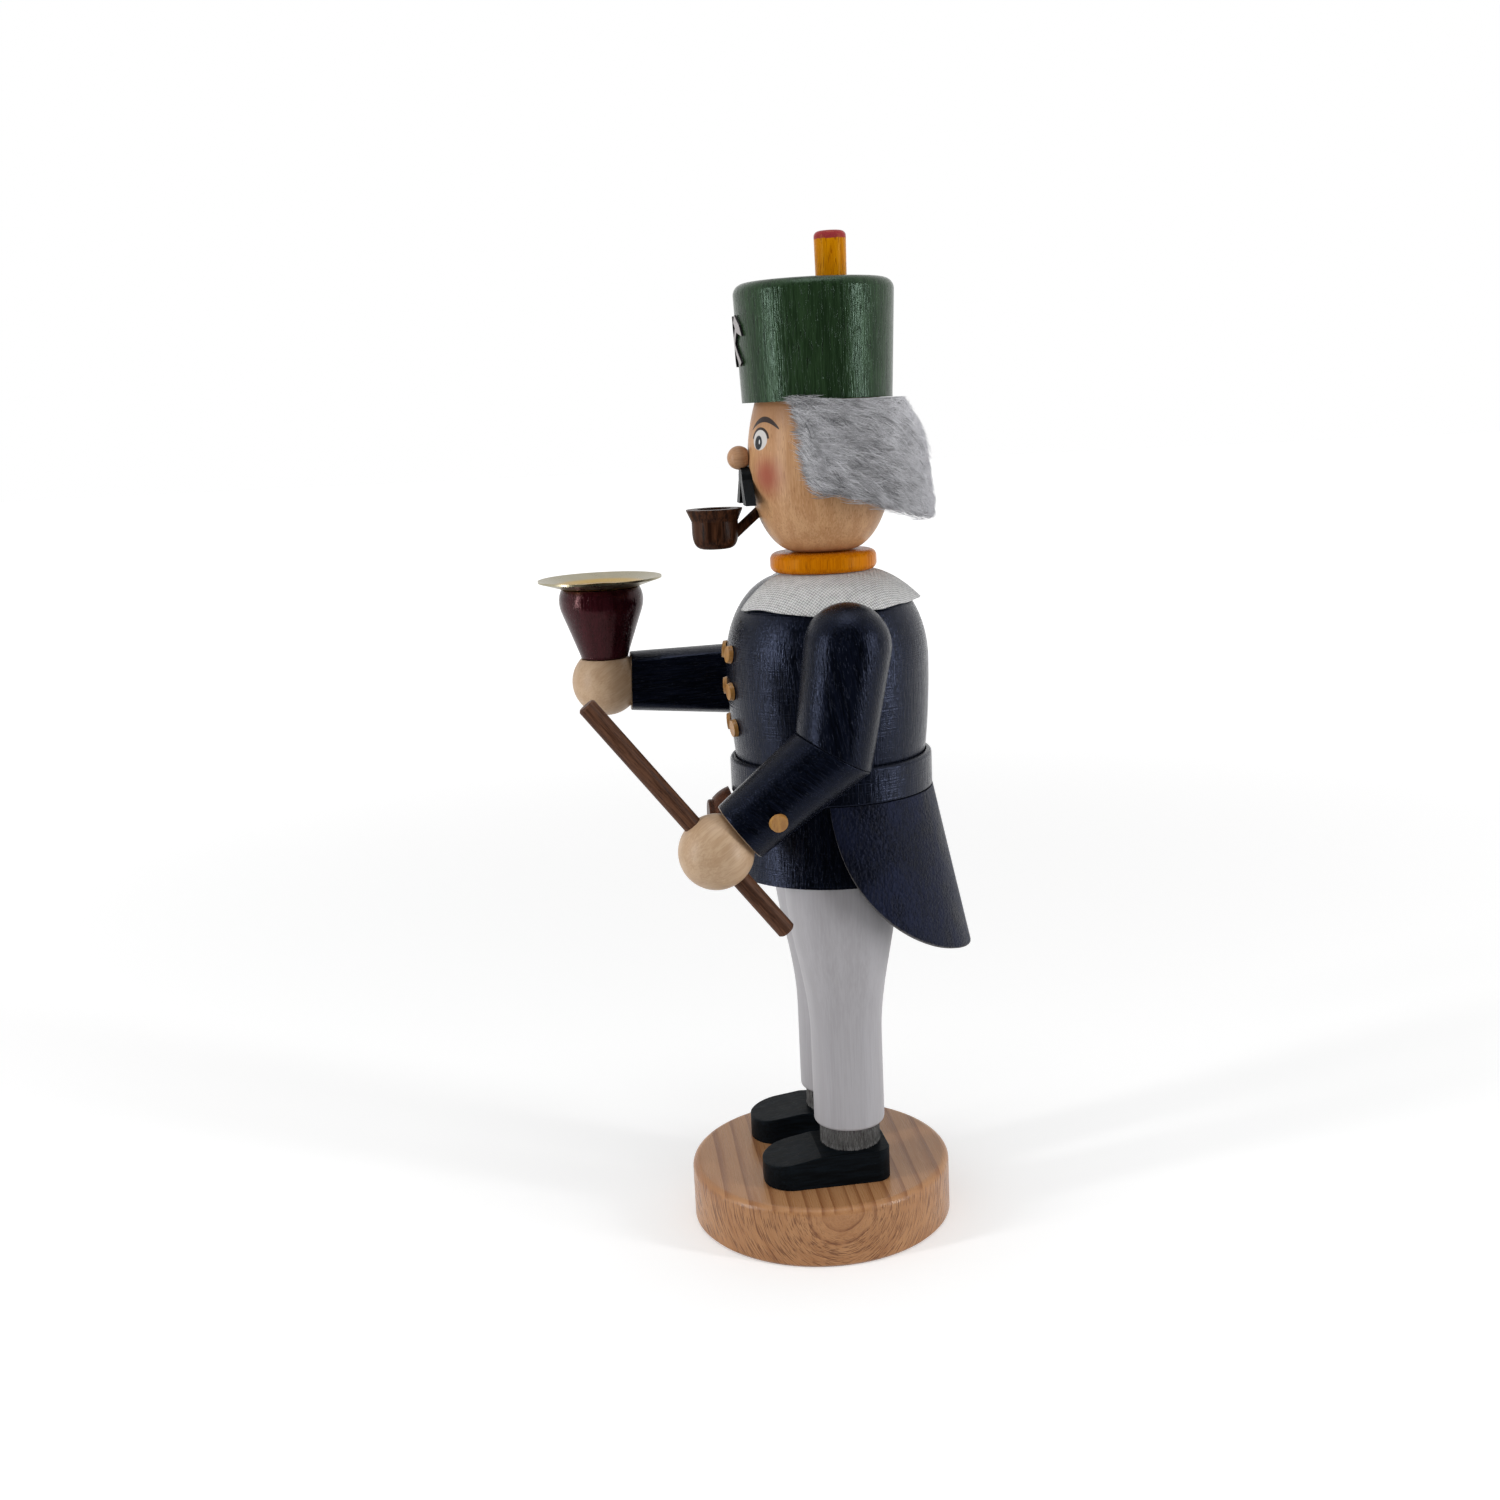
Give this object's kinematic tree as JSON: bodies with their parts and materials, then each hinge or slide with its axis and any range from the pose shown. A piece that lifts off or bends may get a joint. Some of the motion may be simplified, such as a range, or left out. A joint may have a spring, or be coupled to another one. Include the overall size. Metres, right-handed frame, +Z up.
{
  "type": "incense smoker figure",
  "caption": "Turned wooden miner that smokes incense: a hollow torso lifts off the hips, and the raised hand carries a brass candle socket.",
  "frame": {"origin": "middle of the stand's underside, where it rests on a table", "axes": "+Z up, the figure faces -Y, its left side is +X"},
  "size_m": [0.0984, 0.1164, 0.277],
  "materials": {
    "beech": "clear satin lacquer",
    "maple": "bare, sanded",
    "skin_wood": "clear satin lacquer",
    "navy_stain": "satin stain",
    "white_stain": "matt stain",
    "black_paint": "matt paint",
    "grey_paint": "matt paint",
    "green_stain": "satin stain",
    "yellow_stain": "satin stain",
    "burgundy_stain": "satin stain",
    "brown_stain": "satin stain",
    "gold_paint": "gold paint",
    "dark_leather": "grained",
    "white_cloth": "plain weave",
    "grey_fur": "long pile fur",
    "brass": "pressed, bright",
    "tin": "pressed sheet",
    "emblem_metal": "silver face, dark edges"
  },
  "bodies": {
    "lower_figure": {"base_disc": "beech", "left_shoe": "black_paint", "right_shoe": "black_paint", "left_ankle": "grey_paint", "right_ankle": "grey_paint", "left_leg": "white_stain", "right_leg": "white_stain", "hip_block": "navy_stain", "belt_ring": "navy_stain", "incense_plate": "tin", "back_apron": "dark_leather", "belt_pouch": "brown_stain", "pouch_button": "brown_stain"},
    "upper_figure": {"torso_shell": "navy_stain", "coat_buttons": "gold_paint", "shoulder_dowels": "beech", "elbow_dowels": "beech", "left_upper_arm": "navy_stain", "right_upper_arm": "navy_stain", "left_forearm": "navy_stain", "right_forearm": "navy_stain", "left_hand": "maple", "right_hand": "maple", "cuff_buttons": "gold_paint", "stick": "brown_stain", "candle_cup": "burgundy_stain", "collar_cloth": "white_cloth", "neck_ring": "yellow_stain", "head": "skin_wood", "nose": "skin_wood", "moustache": "black_paint", "hair": "grey_fur", "pipe_bowl": "brown_stain", "pipe_stem": "brown_stain", "hat": "green_stain", "plume": "yellow_stain", "hat_emblem": "emblem_metal"},
    "socket": {"candle_socket": "brass"}
  },
  "joints": [
    {"name": "torso_lift", "type": "slide", "parent": "lower_figure", "child": "upper_figure", "axis": [0, 0, 1], "range_m": [0, 0.06]},
    {"name": "socket_lift", "type": "slide", "parent": "upper_figure", "child": "socket", "axis": [0, 0, 1], "range_m": [0, 0.02]}
  ]
}
